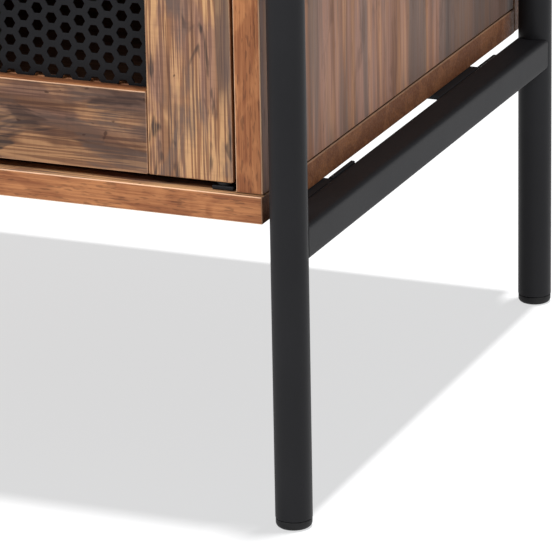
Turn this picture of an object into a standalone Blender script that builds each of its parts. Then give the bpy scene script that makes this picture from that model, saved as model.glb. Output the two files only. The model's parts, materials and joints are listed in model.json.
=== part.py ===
"""A low TV stand with two mesh doors, in metres, +Z up and +Y to the back.

A case of 15 mm boards hangs between two welded side frames of round legs and square rails.
The case holds three bays: an open one in the middle with a shelf, and one behind each door.
A door is a wooden frame with a metal mesh in its grooves, and it turns on two upright pins.
The origin is on the floor, under the middle of the whole stand.
"""

import math

import bmesh
import bpy
from mathutils import Matrix, Vector

# Whole stand
WIDTH = 1.200            # over the two side frames
HEIGHT = 0.520           # floor to the top surface
GAP = 0.0003             # between two pieces that touch
BOARD = 0.015            # every board of the case and the doors
ARRIS = 0.0009           # rounding along the edges of a board

# Side frames
LEG_RADIUS = 0.010
TUBE_WALL = 0.0012
LEG_X = WIDTH / 2 - LEG_RADIUS
LEG_FRONT_Y = -0.185
LEG_REAR_Y = 0.200
LEG_TOP_ROUND = 0.0015
RAIL_SIZE = 0.019        # square tube, width and height
RAIL_CORNER = 0.0025
LOWER_RAIL_Z = 0.1576    # middle of the rail
UPPER_RAIL_Z = 0.4900
GLIDE_HEIGHT = 0.005     # the part of a glide under its leg
GLIDE_RADIUS = 0.0098
GLIDE_ROUND = 0.0025
GLIDE_STEM_RADIUS = 0.0084
GLIDE_STEM_TOP = 0.020

# Brackets between the lower rails and the bottom panel
BRACKET_THICK = 0.0025
BRACKET_LENGTH = 0.0956
BRACKET_TAB_LENGTH = 0.0631
BRACKET_TAB_REACH = 0.034
BRACKET_DROP = 0.012
BRACKET_WING_RISE = (0.0006, -0.0014)   # front, rear
BRACKET_START_Y = (-0.1627, 0.0655)

# Case
CASE_FRONT_Y = -0.1869
CASE_REAR_Y = 0.2185
CASE_X = 0.5759          # half the width of the top and bottom panels
SIDE_INSET = 0.0007      # side panels behind the ends of the bottom panel
SIDE_SETBACK = 0.0025    # front edges of the side panels behind the bottom panel's
BOTTOM_Z = 0.1665        # underside of the bottom panel
FLOOR_Z = BOTTOM_Z + BOARD
CEILING_Z = HEIGHT - BOARD
SIDE_OUTER_X = CASE_X - SIDE_INSET
SIDE_INNER_X = SIDE_OUTER_X - BOARD
BAY = (2 * SIDE_INNER_X - 2 * BOARD) / 3
DIVIDER_X = BAY / 2 + BOARD / 2
SHELF_SETBACK = 0.014
SHELF_REAR_Y = 0.160     # leaves a slot for cables behind the shelf
CABLE_HOLE_RADIUS = 0.025
SIDE_CABLE_HOLE_Z = 0.300
MIDDLE_CABLE_HOLE_Z = 0.430

# Bolts and spacers that hold the case to the upper rails
BOLT_Y = (-0.120, 0.130)
BOLT_RADIUS = 0.0030
BOLT_HOLE_RADIUS = 0.0033
BOLT_HEAD_RADIUS = 0.0060
BOLT_HEAD_THICK = 0.0033
BOLT_END = 0.007         # shank beyond the rail's inner wall
SPACER_RADIUS = 0.0070

# Doors
DOOR_SETBACK = 0.0035    # door face behind the bottom panel's front edge
DOOR_SIDE_GAP = 0.0020
DOOR_END_GAP = 0.0047
STILE = 0.048
RAIL_HEIGHT = 0.045
MESH_DEPTH = 0.0095      # middle of the mesh behind the door's face
MESH_THICK = 0.0012
MESH_TUCK = 0.0060       # how far the mesh reaches into its grooves
GROOVE_DEPTH = 0.0070
GROOVE_WIDTH = 0.0020
DOOR_FACE_Y = CASE_FRONT_Y + DOOR_SETBACK
DOOR_BACK_Y = DOOR_FACE_Y + BOARD
DOOR_LOW_Z = FLOOR_Z + DOOR_END_GAP
DOOR_HIGH_Z = CEILING_Z - DOOR_END_GAP
DOOR_OUTER_X = SIDE_INNER_X - DOOR_SIDE_GAP
DOOR_INNER_X = DIVIDER_X + BOARD / 2 + DOOR_SIDE_GAP

# Pivots: an upright pin on a plate, in a bush in the end of the hinge stile
PIVOT_INSET = 0.0065     # pin behind the door's outer edge
PIVOT_DEPTH = 0.0050     # pin behind the door's face
PIVOT_X = DOOR_OUTER_X - PIVOT_INSET
PIVOT_Y = DOOR_FACE_Y + PIVOT_DEPTH
PIN_RADIUS = 0.0020
PIN_REACH = 0.0090       # pin inside the stile
PLATE_THICK = 0.0020
PLATE_INWARD = 0.0060
PLATE_OUTWARD = 0.0060
PLATE_FRONT = 0.0040
PLATE_BACK = 0.0270
COLLAR_RADIUS = 0.0036
BUSH_RADIUS = 0.0035
BUSH_BORE_RADIUS = 0.0021
BUSH_LENGTH = 0.010
BUSH_FLANGE_RADIUS = 0.0045
BUSH_FLANGE_THICK = 0.0009

# Knobs and catches
KNOB_Z = (DOOR_LOW_Z + DOOR_HIGH_Z) / 2
KNOB_LENGTH = 0.0263
KNOB_RADIUS = 0.0130
KNOB_NECK_RADIUS = 0.0055
KNOB_FOOT_RADIUS = 0.0085
KNOB_BORE_DEPTH = 0.012
SCREW_RADIUS = 0.0019
SCREW_HOLE_RADIUS = 0.0022
SCREW_REACH = 0.010
SCREW_HEAD_RADIUS = 0.0042
SCREW_HEAD_THICK = 0.0024
CATCH_SIZE = Vector((0.044, 0.014, 0.013))
STRIKE_SIZE = Vector((0.036, 0.0012, 0.012))

FINISHES = {             # colour, roughness, metallic
    "brown_board": ((0.270, 0.165, 0.095), 0.60, 0.0),
    "black_paint": ((0.030, 0.031, 0.034), 0.42, 0.0),
    "black_mesh": ((0.035, 0.036, 0.038), 0.50, 0.0),
    "black_plastic": ((0.022, 0.022, 0.023), 0.50, 0.0),
    "zinc_steel": ((0.560, 0.565, 0.570), 0.38, 1.0),
}


def clear_scene():
    for old in list(bpy.data.objects):
        bpy.data.objects.remove(old, do_unlink=True)


def new_collection(name):
    found = bpy.data.collections.new(name)
    bpy.context.scene.collection.children.link(found)
    return found


def finish_of(name, finish):
    """The piece's own material, in one of the stand's finishes."""
    colour, roughness, metallic = FINISHES[finish]
    made = bpy.data.materials.new(name)
    made.use_nodes = True
    shader = made.node_tree.nodes["Principled BSDF"]
    shader.inputs["Base Color"].default_value = (*colour, 1.0)
    shader.inputs["Roughness"].default_value = roughness
    shader.inputs["Metallic"].default_value = metallic
    return made


def new_piece(name, shape, place, finish):
    """An object from a bmesh: a piece with its finish, or a hidden cutter when finish is None."""
    mesh = bpy.data.meshes.new(name)
    shape.to_mesh(mesh)
    shape.free()
    piece = bpy.data.objects.new(name, mesh)
    piece.location = place
    if finish is None:
        cutters.objects.link(piece)
        piece.hide_render = True
        piece.display_type = "WIRE"
    else:
        parts.objects.link(piece)
        mesh.materials.append(finish_of(name, finish))
    return piece


def box_shape(size):
    shape = bmesh.new()
    bmesh.ops.create_cube(shape, size=1.0)
    bmesh.ops.scale(shape, vec=size, verts=shape.verts)
    return shape


def box(name, low, high, finish=None):
    """A block between two corners, given in either order."""
    low, high = Vector(low), Vector(high)
    size = Vector(abs(b - a) for a, b in zip(low, high))
    return new_piece(name, box_shape(size), (low + high) / 2, finish)


def round_edges(piece, width, segments=2):
    bevel = piece.modifiers.new("rounded edges", "BEVEL")
    bevel.width = width
    bevel.segments = segments
    bevel.limit_method = "ANGLE"


def board(name, low, high):
    piece = box(name, low, high, "brown_board")
    round_edges(piece, ARRIS)
    return piece


def plate(name, low, high, finish, edge=0.0003):
    piece = box(name, low, high, finish)
    round_edges(piece, edge, 1)
    return piece


def rod(name, centre, radius, length, axis="Z", sides=16):
    """A round cutter with its middle at centre."""
    shape = bmesh.new()
    bmesh.ops.create_cone(shape, cap_ends=True, segments=sides, radius1=radius,
                          radius2=radius, depth=length)
    turn = {"X": Matrix.Rotation(math.pi / 2, 3, "Y"),
            "Y": Matrix.Rotation(math.pi / 2, 3, "X"),
            "Z": Matrix.Identity(3)}[axis]
    bmesh.ops.rotate(shape, cent=(0, 0, 0), matrix=turn, verts=shape.verts)
    return new_piece(name, shape, centre, None)


def combine(piece, other, operation):
    boolean = piece.modifiers.new(other.name, "BOOLEAN")
    boolean.operation = operation
    boolean.solver = "EXACT"
    boolean.object = other


def cut(piece, *tools):
    for tool in tools:
        combine(piece, tool, "DIFFERENCE")


def turned(name, profile, place, finish, turn=(0, 0, 0), closed=False, steps=32):
    """A profile of (radius, height) points, outer side downwards, turned about the upright axis."""
    shape = bmesh.new()
    points = [shape.verts.new((radius, 0.0, height)) for radius, height in profile]
    for first, second in zip(points, points[1:]):
        shape.edges.new((first, second))
    if closed:
        shape.edges.new((points[-1], points[0]))
    piece = new_piece(name, shape, place, finish)
    piece.rotation_euler = turn
    screw = piece.modifiers.new("turned", "SCREW")
    screw.axis = "Z"
    screw.steps = screw.render_steps = steps
    screw.use_merge_vertices = True
    screw.merge_threshold = 0.00001
    screw.use_smooth_shade = True
    return piece


def arc(centre, radius, start, end, count):
    """Points on an arc, as (radius, height), from one angle in degrees to another."""
    angles = [math.radians(start + (end - start) * step / count) for step in range(count + 1)]
    return [(centre[0] + radius * math.cos(a), centre[1] + radius * math.sin(a)) for a in angles]


def side_name(side):
    return "right" if side > 0 else "left"


# Case -------------------------------------------------------------------------------------

def make_case():
    board("top_panel", (-CASE_X, CASE_FRONT_Y, CEILING_Z), (CASE_X, CASE_REAR_Y, HEIGHT))
    back_front_y = CASE_REAR_Y - BOARD
    board("bottom_panel", (-CASE_X, CASE_FRONT_Y, BOTTOM_Z), (CASE_X, back_front_y - GAP, FLOOR_Z))
    front_y = CASE_FRONT_Y + SIDE_SETBACK
    for side in (-1, 1):
        panel = board("side_panel_" + side_name(side),
                      (side * SIDE_INNER_X, front_y, FLOOR_Z + GAP),
                      (side * SIDE_OUTER_X, back_front_y - GAP, CEILING_Z - GAP))
        for index, y in enumerate(BOLT_Y):
            hole = rod("side_bolt_hole_%s_%d" % (side_name(side), index),
                       (side * (SIDE_INNER_X + BOARD / 2), y, UPPER_RAIL_Z),
                       BOLT_HOLE_RADIUS, 2 * BOARD, "X")
            cut(panel, hole)
        board("divider_" + side_name(side),
              (side * (DIVIDER_X - BOARD / 2), front_y, FLOOR_Z + GAP),
              (side * (DIVIDER_X + BOARD / 2), back_front_y - GAP, CEILING_Z - GAP))
    shelf_z = (FLOOR_Z + CEILING_Z - BOARD) / 2
    shelf_x = BAY / 2 - GAP
    board("middle_shelf", (-shelf_x, CASE_FRONT_Y + SHELF_SETBACK, shelf_z),
          (shelf_x, SHELF_REAR_Y, shelf_z + BOARD))
    make_back(back_front_y)


def make_back(front_y):
    """Three boards that meet behind the dividers, each with a round hole for cables."""
    seam = DIVIDER_X
    spans = {"left": (-CASE_X, -seam - GAP / 2, SIDE_CABLE_HOLE_Z),
             "middle": (-seam + GAP / 2, seam - GAP / 2, MIDDLE_CABLE_HOLE_Z),
             "right": (seam + GAP / 2, CASE_X, SIDE_CABLE_HOLE_Z)}
    for name, (low_x, high_x, hole_z) in spans.items():
        panel = board("back_panel_" + name, (low_x, front_y, BOTTOM_Z),
                      (high_x, CASE_REAR_Y, CEILING_Z - GAP))
        middle_x = 0.0 if name == "middle" else math.copysign(DIVIDER_X + BAY / 2, low_x)
        cut(panel, rod("cable_hole_" + name, (middle_x, front_y + BOARD / 2, hole_z),
                       CABLE_HOLE_RADIUS, 2 * BOARD, "Y", sides=32))


# Side frames ------------------------------------------------------------------------------

def make_leg(name, x, y):
    """A round tube, closed by its own top and open at the foot."""
    bore = LEG_RADIUS - TUBE_WALL
    low = GLIDE_HEIGHT + GAP
    rounding = arc((LEG_RADIUS - LEG_TOP_ROUND, HEIGHT - LEG_TOP_ROUND), LEG_TOP_ROUND, 90, 0, 2)
    profile = [(0, HEIGHT)] + rounding + [(LEG_RADIUS, low), (bore, low),
                                          (bore, HEIGHT - TUBE_WALL), (0, HEIGHT - TUBE_WALL)]
    turned("leg_" + name, profile, (x, y, 0), "black_paint")


def make_glide(name, x, y):
    """A plug in the leg's foot, with a rounded sole."""
    sole = arc((GLIDE_RADIUS - GLIDE_ROUND, GLIDE_ROUND), GLIDE_ROUND, 0, -90, 3)
    profile = [(0, GLIDE_STEM_TOP), (GLIDE_STEM_RADIUS, GLIDE_STEM_TOP),
               (GLIDE_STEM_RADIUS, GLIDE_HEIGHT), (GLIDE_RADIUS, GLIDE_HEIGHT)] + sole + [(0, 0)]
    turned("glide_" + name, profile, (x, y, 0), "black_plastic", steps=24)


def make_rail(name, x, z):
    """A square tube between two legs, its ends shaped to the legs it is welded to."""
    length = LEG_REAR_Y - LEG_FRONT_Y
    shape = box_shape(Vector((RAIL_SIZE, length, RAIL_SIZE)))
    ends = [face for face in shape.faces if abs(face.normal.y) > 0.5]
    bmesh.ops.delete(shape, geom=ends, context="FACES_ONLY")
    rail = new_piece(name, shape, (x, (LEG_FRONT_Y + LEG_REAR_Y) / 2, z), "black_paint")
    round_edges(rail, RAIL_CORNER, 3)
    wall = rail.modifiers.new("tube wall", "SOLIDIFY")
    wall.thickness = TUBE_WALL
    wall.offset = -1
    for end, y in (("front", LEG_FRONT_Y), ("rear", LEG_REAR_Y)):
        cut(rail, rod("%s_%s_cope" % (name, end), (x, y, z), LEG_RADIUS + GAP, 3 * RAIL_SIZE,
                      sides=32))
    return rail


def make_bracket(name, side, start_y, wing_rise):
    """A plate on the rail's inner face, with a tab bent in under the bottom panel.

    Behind the tab the plate goes on as a wing, with its top edge wing_rise over the tab.
    """
    tab_top = BOTTOM_Z - GAP
    rail_inner = LEG_X - RAIL_SIZE / 2 - GAP
    bend_y, end_y = start_y + BRACKET_TAB_LENGTH, start_y + BRACKET_LENGTH
    bracket = plate("bracket_" + name,
                    (side * rail_inner, start_y, BOTTOM_Z - BRACKET_DROP),
                    (side * (rail_inner - BRACKET_THICK), end_y, tab_top + max(wing_rise, 0)),
                    "black_paint")
    tab = box("bracket_tab_" + name,
              (side * (rail_inner - GAP), start_y + GAP, tab_top - BRACKET_THICK),
              (side * (rail_inner - BRACKET_TAB_REACH), bend_y, tab_top))
    combine(bracket, tab, "UNION")
    low_y, high_y = (start_y - GAP, bend_y) if wing_rise > 0 else (bend_y, end_y + GAP)
    trim = box("bracket_trim_" + name,
               (side * (rail_inner + GAP), low_y, tab_top + min(wing_rise, 0)),
               (side * (rail_inner - BRACKET_THICK - GAP), high_y, tab_top + BRACKET_THICK))
    cut(bracket, trim)


def make_frames():
    for side in (-1, 1):
        x = side * LEG_X
        for end, y in (("front", LEG_FRONT_Y), ("rear", LEG_REAR_Y)):
            name = "%s_%s" % (end, side_name(side))
            make_leg(name, x, y)
            make_glide(name, x, y)
        make_rail("lower_rail_" + side_name(side), x, LOWER_RAIL_Z)
        upper = make_rail("upper_rail_" + side_name(side), x, UPPER_RAIL_Z)
        for end, y in zip(("front", "rear"), BOLT_Y):
            name = "%s_%s" % (end, side_name(side))
            cut(upper, rod("rail_bolt_hole_" + name, (x - side * RAIL_SIZE / 2, y, UPPER_RAIL_Z),
                           BOLT_HOLE_RADIUS, RAIL_SIZE / 2, "X"))
            make_bolt(name, side, y)
            make_spacer(name, side, y)
        for end, y, rise in zip(("front", "rear"), BRACKET_START_Y, BRACKET_WING_RISE):
            make_bracket("%s_%s" % (end, side_name(side)), side, y, rise)


def make_bolt(name, side, y):
    """A button-head bolt from inside the case, through side panel and spacer into the rail."""
    head = SIDE_INNER_X - GAP
    tip = LEG_X - RAIL_SIZE / 2 + BOLT_END - head
    crown = arc((BOLT_HEAD_RADIUS - 0.0015, -BOLT_HEAD_THICK + 0.0015), 0.0015, 0, -90, 3)
    profile = [(0, tip), (BOLT_RADIUS - 0.0005, tip), (BOLT_RADIUS, tip - 0.0005),
               (BOLT_RADIUS, 0), (BOLT_HEAD_RADIUS, 0)] + crown + [(0, -BOLT_HEAD_THICK)]
    turned("frame_bolt_" + name, profile, (side * head, y, UPPER_RAIL_Z), "zinc_steel",
           turn=(0, side * math.pi / 2, 0), steps=16)


def make_spacer(name, side, y):
    """A ring that fills the space between side panel and rail."""
    low = SIDE_OUTER_X + GAP
    length = LEG_X - RAIL_SIZE / 2 - GAP - low
    profile = [(BOLT_HOLE_RADIUS, length), (SPACER_RADIUS, length),
               (SPACER_RADIUS, 0), (BOLT_HOLE_RADIUS, 0)]
    turned("spacer_" + name, profile, (side * low, y, UPPER_RAIL_Z), "black_plastic",
           turn=(0, side * math.pi / 2, 0), closed=True, steps=16)


# Doors ------------------------------------------------------------------------------------

def make_door(side):
    name = side_name(side)
    outer, inner = side * DOOR_OUTER_X, side * DOOR_INNER_X
    outer_stile = side * (DOOR_OUTER_X - STILE)
    inner_stile = side * (DOOR_INNER_X + STILE)
    open_low, open_high = DOOR_LOW_Z + RAIL_HEIGHT, DOOR_HIGH_Z - RAIL_HEIGHT
    mesh_y = DOOR_FACE_Y + MESH_DEPTH
    hinge_stile = board("door_%s_hinge_stile" % name, (outer, DOOR_FACE_Y, DOOR_LOW_Z),
                        (outer_stile, DOOR_BACK_Y, DOOR_HIGH_Z))
    lock_stile = board("door_%s_lock_stile" % name, (inner, DOOR_FACE_Y, DOOR_LOW_Z),
                       (inner_stile, DOOR_BACK_Y, DOOR_HIGH_Z))
    rail_ends = (outer_stile - side * GAP, inner_stile + side * GAP)
    bottom_rail = board("door_%s_bottom_rail" % name, (rail_ends[0], DOOR_FACE_Y, DOOR_LOW_Z),
                        (rail_ends[1], DOOR_BACK_Y, open_low))
    top_rail = board("door_%s_top_rail" % name, (rail_ends[0], DOOR_FACE_Y, open_high),
                     (rail_ends[1], DOOR_BACK_Y, DOOR_HIGH_Z))
    groove = box("mesh_groove_%s" % name,
                 (outer_stile + side * GROOVE_DEPTH, mesh_y - GROOVE_WIDTH / 2,
                  open_low - GROOVE_DEPTH),
                 (inner_stile - side * GROOVE_DEPTH, mesh_y + GROOVE_WIDTH / 2,
                  open_high + GROOVE_DEPTH))
    for piece in (hinge_stile, lock_stile, bottom_rail, top_rail):
        cut(piece, groove)
    mesh = box("door_%s_mesh" % name,
               (outer_stile + side * MESH_TUCK, mesh_y - MESH_THICK / 2, open_low - MESH_TUCK),
               (inner_stile - side * MESH_TUCK, mesh_y + MESH_THICK / 2, open_high + MESH_TUCK),
               "black_mesh")
    pieces = [hinge_stile, lock_stile, bottom_rail, top_rail, mesh]
    pieces += make_pivots(side, hinge_stile)
    pieces += make_knob(side, lock_stile)
    pieces.append(make_catch(side))
    axis = bpy.data.objects.new("door_%s_axis" % name, None)
    axis.location = (side * PIVOT_X, PIVOT_Y, 0)
    axis.empty_display_size = 0.05
    parts.objects.link(axis)
    for piece in pieces:
        piece.parent = axis
        piece.matrix_parent_inverse = Matrix.Translation(-axis.location)


def make_pivots(side, stile):
    """Both pins with their plates, which stay on the case, and the door's two bushes."""
    x, y = side * PIVOT_X, PIVOT_Y
    bushes = []
    ends = (("lower", 1, FLOOR_Z, DOOR_LOW_Z), ("upper", -1, CEILING_Z, DOOR_HIGH_Z))
    for end, up, case_z, door_z in ends:
        name = "%s_%s" % (end, side_name(side))
        turn = (0, 0, 0) if up > 0 else (math.pi, 0, 0)
        socket = rod("bush_socket_" + name, (x, y, door_z), BUSH_RADIUS + GAP,
                     2 * (BUSH_LENGTH + GAP))
        cut(stile, socket)
        base = plate("pivot_" + name,
                     (x - side * PLATE_INWARD, y - PLATE_FRONT, case_z + up * GAP),
                     (x + side * PLATE_OUTWARD, y + PLATE_BACK, case_z + up * (GAP + PLATE_THICK)),
                     "black_paint")
        flange_low = DOOR_END_GAP - GAP - BUSH_FLANGE_THICK
        tip = DOOR_END_GAP + PIN_REACH
        pin = turned("pin_" + name, [
            (0, tip), (PIN_RADIUS - 0.0006, tip), (PIN_RADIUS, tip - 0.0006),
            (PIN_RADIUS, flange_low - GAP), (COLLAR_RADIUS, flange_low - GAP),
            (COLLAR_RADIUS, PLATE_THICK / 2), (0, PLATE_THICK / 2)], (x, y, case_z), None, turn,
            steps=16)
        combine(base, pin, "UNION")
        bushes.append(turned("door_%s_%s_bush" % (side_name(side), end), [
            (BUSH_BORE_RADIUS, BUSH_LENGTH), (BUSH_RADIUS, BUSH_LENGTH), (BUSH_RADIUS, -GAP),
            (BUSH_FLANGE_RADIUS, -GAP), (BUSH_FLANGE_RADIUS, -GAP - BUSH_FLANGE_THICK),
            (BUSH_BORE_RADIUS, -GAP - BUSH_FLANGE_THICK)], (x, y, door_z), "black_plastic",
            turn, closed=True, steps=16))
    return bushes


def make_knob(side, stile):
    """A turned knob on the lock stile, held by a screw from the back."""
    name = side_name(side)
    x = side * (DOOR_INNER_X + STILE / 2)
    forward = (math.pi / 2, 0, 0)
    cut(stile, rod("knob_hole_" + name, (x, DOOR_FACE_Y + BOARD / 2, KNOB_Z),
                   SCREW_HOLE_RADIUS, 2 * BOARD, "Y"))
    top = KNOB_LENGTH + GAP
    edge = 0.0030
    rim = arc((KNOB_RADIUS - edge, top - edge), edge, 90, -50, 5)
    profile = [(0, top)] + rim + [(KNOB_NECK_RADIUS, 0.0110), (KNOB_NECK_RADIUS, 0.0060),
                                  (KNOB_FOOT_RADIUS, 0.0030), (KNOB_FOOT_RADIUS, GAP),
                                  (SCREW_HOLE_RADIUS, GAP), (SCREW_HOLE_RADIUS, KNOB_BORE_DEPTH),
                                  (0, KNOB_BORE_DEPTH)]
    knob = turned("door_%s_knob" % name, profile, (x, DOOR_FACE_Y, KNOB_Z), "black_paint", forward,
                  steps=24)
    back = -BOARD - GAP
    low = back - SCREW_HEAD_THICK
    screw = turned("door_%s_knob_screw" % name, [
        (0, SCREW_REACH), (SCREW_RADIUS, SCREW_REACH), (SCREW_RADIUS, back),
        (SCREW_HEAD_RADIUS, back), (SCREW_HEAD_RADIUS, low + 0.0008),
        (SCREW_HEAD_RADIUS - 0.0012, low), (0, low)],
        (x, DOOR_FACE_Y, KNOB_Z), "zinc_steel", forward, steps=16)
    return [knob, screw]


def make_catch(side):
    """A magnetic catch under the top panel, and the door's strike plate, which it holds."""
    x = side * (DOOR_INNER_X + STILE / 2)
    top_z = CEILING_Z - GAP
    strike_y = DOOR_BACK_Y + GAP
    catch_y = strike_y + STRIKE_SIZE.y + GAP
    plate("catch_" + side_name(side),
          (x - CATCH_SIZE.x / 2, catch_y, top_z - CATCH_SIZE.z),
          (x + CATCH_SIZE.x / 2, catch_y + CATCH_SIZE.y, top_z), "black_plastic", 0.0008)
    return plate("door_%s_strike" % side_name(side),
                 (x - STRIKE_SIZE.x / 2, strike_y, DOOR_HIGH_Z - 0.002 - STRIKE_SIZE.z),
                 (x + STRIKE_SIZE.x / 2, strike_y + STRIKE_SIZE.y, DOOR_HIGH_Z - 0.002), "zinc_steel")


clear_scene()
parts = new_collection("tv_stand_with_doors")
cutters = new_collection("cutters")
make_case()
make_frames()
for door_side in (-1, 1):
    make_door(door_side)
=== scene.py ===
# %% [markdown]
# # A low TV stand with two mesh doors
# The stand is a case of brown wood-grain board, hung between two side frames of black steel tube.
# Its solids are already packed, with their places, joints and sizes. This script gives them looks:
# rounded laminate boards with a printed grain, powder-coated tube, perforated door sheets,
# turned knobs and feet, and the small screws that hold its fittings.
# A shape is always worked out as whole arrays of points, so the first thing to fetch is numpy.

# %% The tools and the fixed frame
import json
import math

import bpy
import numpy as np
from mathutils import Matrix, Vector

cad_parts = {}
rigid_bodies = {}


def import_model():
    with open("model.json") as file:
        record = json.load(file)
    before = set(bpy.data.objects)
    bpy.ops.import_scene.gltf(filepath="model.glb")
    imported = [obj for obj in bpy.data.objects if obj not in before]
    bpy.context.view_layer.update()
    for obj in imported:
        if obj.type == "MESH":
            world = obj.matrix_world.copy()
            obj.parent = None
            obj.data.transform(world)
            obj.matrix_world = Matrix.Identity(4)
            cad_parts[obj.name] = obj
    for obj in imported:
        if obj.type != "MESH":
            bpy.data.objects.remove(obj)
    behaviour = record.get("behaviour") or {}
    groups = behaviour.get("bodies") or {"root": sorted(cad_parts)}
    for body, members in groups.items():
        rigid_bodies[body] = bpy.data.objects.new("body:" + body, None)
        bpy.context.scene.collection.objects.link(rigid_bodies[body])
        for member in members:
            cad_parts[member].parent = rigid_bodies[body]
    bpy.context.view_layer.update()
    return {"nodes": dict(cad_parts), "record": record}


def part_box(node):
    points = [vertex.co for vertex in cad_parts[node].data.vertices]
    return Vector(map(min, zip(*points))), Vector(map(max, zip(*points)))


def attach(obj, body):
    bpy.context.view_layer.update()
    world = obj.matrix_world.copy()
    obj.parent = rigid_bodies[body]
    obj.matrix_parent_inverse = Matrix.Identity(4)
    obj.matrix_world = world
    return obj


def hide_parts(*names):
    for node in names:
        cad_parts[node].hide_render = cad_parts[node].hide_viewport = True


for leftover in list(bpy.data.objects):
    bpy.data.objects.remove(leftover)
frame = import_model()

# %% [markdown]
# ## What the frame says
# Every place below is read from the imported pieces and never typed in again. A dictionary of
# (lowest corner, highest corner) for each piece is enough, and the few sizes that a box can't tell,
# such as the rounding of a board's edge, are named here.

# %% Places from the frame
SPAN = {node: [np.array(corner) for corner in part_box(node)] for node in frame["nodes"]}
BODY_OF = {node: body for body, nodes in frame["record"]["behaviour"]["bodies"].items()
           for node in nodes}
SIDES = {"left": -1, "right": 1}
ENDS = ("front", "rear")
GAP = 0.0003             # between two pieces that touch
ARRIS = 0.0009           # rounding along a board's edges
TUBE_WALL = 0.0012


def middle(node):
    """Half way between a piece's lowest and highest corners."""
    return (SPAN[node][0] + SPAN[node][1]) / 2


# %% [markdown]
# ## The camera
# The eye stands low, in front of the right-hand front leg and a little to its right, and looks
# down at the lower right corner of the stand through a long lens. A long lens keeps the legs
# nearly parallel. The camera could be aimed with a constraint, but three directions written out
# are clearer: forward from the two angles, right along the floor, and up at right angles to both.

# %% Camera
EYE_TURN = math.radians(22.838)      # to the right of straight ahead
EYE_TILT = math.radians(18.897)      # looking down
EYE_ROLL = math.radians(-1.047)
EYE_FROM_LEG = np.array((0.8169, -1.9531, 0.8623))
LENS = 276.55                        # millimetres, on a sensor 36 wide

leg_foot = middle("leg_front_right") * (1, 1, 0)
forward = np.array((-math.sin(EYE_TURN) * math.cos(EYE_TILT),
                    math.cos(EYE_TURN) * math.cos(EYE_TILT), -math.sin(EYE_TILT)))
level = np.array((math.cos(EYE_TURN), math.sin(EYE_TURN), 0.0))
upright = np.cross(level, forward)
right = level * math.cos(EYE_ROLL) + upright * math.sin(EYE_ROLL)
up = upright * math.cos(EYE_ROLL) - level * math.sin(EYE_ROLL)

camera = bpy.data.objects.new("camera", bpy.data.cameras.new("camera"))
camera.data.lens = LENS
camera.data.sensor_width = 36.0
camera.data.clip_end = 200.0
axes = Matrix([list(right), list(up), list(-forward)]).transposed()
camera.matrix_world = Matrix.Translation(Vector(leg_foot + EYE_FROM_LEG)) @ axes.to_4x4()
bpy.context.scene.collection.objects.link(camera)
bpy.context.scene.camera = camera
print("camera at", [round(value, 3) for value in camera.matrix_world.translation])

# %% [markdown]
# ## Expressions for materials
# A finish is a tree of nodes, but most of it is arithmetic: this much grain, less near an edge.
# Written node by node that is pages of sockets. Here a small class stands for a socket that
# carries a number, and its operators add the Math nodes, so `1 - worn * 0.4` is a material too.
# Colours and vectors have methods of their own, because a Math node would turn them grey.

# %% A socket that does arithmetic
class Flow:
    """A value that varies over a surface. Arithmetic on it adds Math nodes to its tree."""

    def __init__(self, finish, socket):
        self.finish = finish
        self.socket = socket

    def math(self, operation, *values):
        return self.finish.node("ShaderNodeMath", {"operation": operation}, dict(enumerate(values)))

    def __add__(self, other):
        return self.math("ADD", self, other)

    def __sub__(self, other):
        return self.math("SUBTRACT", self, other)

    def __mul__(self, other):
        return self.math("MULTIPLY", self, other)

    def __rsub__(self, other):
        return self.math("SUBTRACT", other, self)

    def __abs__(self):
        return self.math("ABSOLUTE", self)

    __radd__ = __add__
    __rmul__ = __mul__

    def between(self, low, high, start=0.0, end=1.0):
        """A smooth step: start below low, end above high."""
        return self.finish.node("ShaderNodeMapRange", {"interpolation_type": "SMOOTHSTEP"}, {
            "Value": self, "From Min": low, "From Max": high, "To Min": start, "To Max": end})

    def least(self, other):
        return self.math("MINIMUM", self, other)

    def most(self, other):
        return self.math("MAXIMUM", self, other)


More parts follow.
